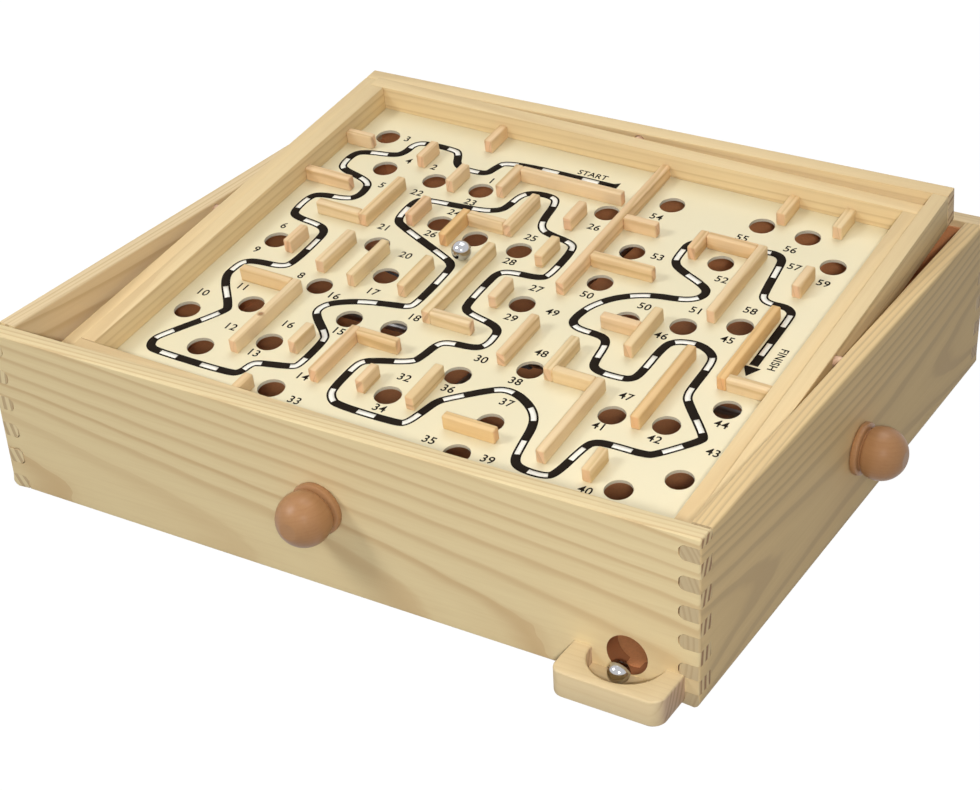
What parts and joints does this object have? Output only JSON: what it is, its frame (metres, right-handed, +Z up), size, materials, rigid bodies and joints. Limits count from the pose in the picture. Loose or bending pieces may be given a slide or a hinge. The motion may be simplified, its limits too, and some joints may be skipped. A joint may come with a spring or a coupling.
{
  "type": "wooden labyrinth game",
  "caption": "Finger-jointed wooden box with a maze board tilted on two gimbal axes by side knobs, holes for a steel ball and a catch tray.",
  "frame": {"origin": "middle of the front wall's bottom face, on the table; the box's middle is at y 0.148 m", "axes": "+X to the right along the front wall, +Y to the back, +Z up"},
  "size_m": [0.3739, 0.3275, 0.102],
  "materials": {
    "pine": "satin lacquer over pale pine",
    "hardboard": "bare red-brown hardboard",
    "dowel": "bare beech dowel",
    "frame_pine": "satin lacquer over pale pine",
    "printed_board": "cream printed paper on hardboard, semi-matt",
    "maze_pine": "bare planed pine strip",
    "turned_beech": "stained and varnished, satin",
    "rod_steel": "drawn steel",
    "cord": "waxed dark cord",
    "ball_steel": "polished bearing steel"
  },
  "bodies": {
    "box": {"front_wall": "pine", "back_wall": "pine", "left_wall": "pine", "right_wall": "pine", "sloping_floor": "hardboard", "catch_tray": "pine", "frame_pin_left": "dowel", "frame_pin_right": "dowel", "frame_cord": "cord", "board_cord": "cord"},
    "outer_frame": {"frame_rail_front": "frame_pine", "frame_rail_back": "frame_pine", "frame_rail_left": "frame_pine", "frame_rail_right": "frame_pine", "board_pin_front": "dowel", "board_pin_back": "dowel", "frame_cord_spring": "rod_steel"},
    "board": {"board_rim_front": "frame_pine", "board_rim_back": "frame_pine", "board_rim_left": "frame_pine", "board_rim_right": "frame_pine", "maze_panel": "printed_board", "maze_wall_start": "maze_pine", "maze_wall_back_divider": "maze_pine", "maze_wall_finish": "maze_pine", "maze_wall_02": "maze_pine", "maze_wall_03": "maze_pine", "maze_wall_04": "maze_pine", "maze_wall_05": "maze_pine", "maze_wall_06": "maze_pine", "maze_wall_07": "maze_pine", "maze_wall_08": "maze_pine", "maze_wall_10": "maze_pine", "maze_wall_11": "maze_pine", "maze_wall_13": "maze_pine", "maze_wall_14": "maze_pine", "maze_wall_15": "maze_pine", "maze_wall_16": "maze_pine", "maze_wall_17": "maze_pine", "maze_wall_18": "maze_pine", "maze_wall_19": "maze_pine", "maze_wall_20": "maze_pine", "maze_wall_21": "maze_pine", "maze_wall_22": "maze_pine", "maze_wall_23": "maze_pine", "maze_wall_24": "maze_pine", "maze_wall_25": "maze_pine", "maze_wall_26": "maze_pine", "maze_wall_27": "maze_pine", "maze_wall_28": "maze_pine", "maze_wall_29": "maze_pine", "board_cord_spring": "rod_steel"},
    "side_drive": {"side_knob": "turned_beech", "side_shaft": "rod_steel", "side_shaft_clip": "rod_steel"},
    "front_drive": {"front_knob": "turned_beech", "front_shaft": "rod_steel", "front_shaft_clip": "rod_steel"},
    "loose_ball_on_board": {"board_ball": "ball_steel"},
    "loose_ball_in_tray": {"tray_ball": "ball_steel"}
  },
  "joints": [
    {"name": "frame_tilt", "type": "hinge", "parent": "box", "child": "outer_frame", "pos_m": [0, 0.148, 0.07555], "axis": [1, 0, 0], "range_deg": [-16.8, 0], "deforming": ["frame_cord", "board_cord"]},
    {"name": "board_tilt", "type": "hinge", "parent": "outer_frame", "child": "board", "pos_m": [0, 0.148, 0.07555], "axis": [0, 0.9893, 0.1461], "range_deg": [-10.1, 6.7], "deforming": ["board_cord"]},
    {"name": "side_knob_turn", "type": "hinge", "parent": "box", "child": "side_drive", "pos_m": [0.176, 0.148, 0.036], "axis": [1, 0, 0], "range_deg": [-207, 0]},
    {"name": "front_knob_turn", "type": "hinge", "parent": "box", "child": "front_drive", "pos_m": [0, -0.0045, 0.042], "axis": [0, 1, 0], "range_deg": [-115, 76]},
    {"name": "board_ball_lift", "type": "slide", "parent": "board", "child": "loose_ball_on_board", "axis": [0.0297, -0.146, 0.9888], "range_m": [0, 0.06]},
    {"name": "tray_ball_lift", "type": "slide", "parent": "box", "child": "loose_ball_in_tray", "axis": [0, 0, 1], "range_m": [0, 0.06]}
  ],
  "couplings": [
    {"joint": "side_knob_turn", "follows": "frame_tilt", "ratio": 12.3},
    {"joint": "front_knob_turn", "follows": "board_tilt", "ratio": 11.3}
  ]
}
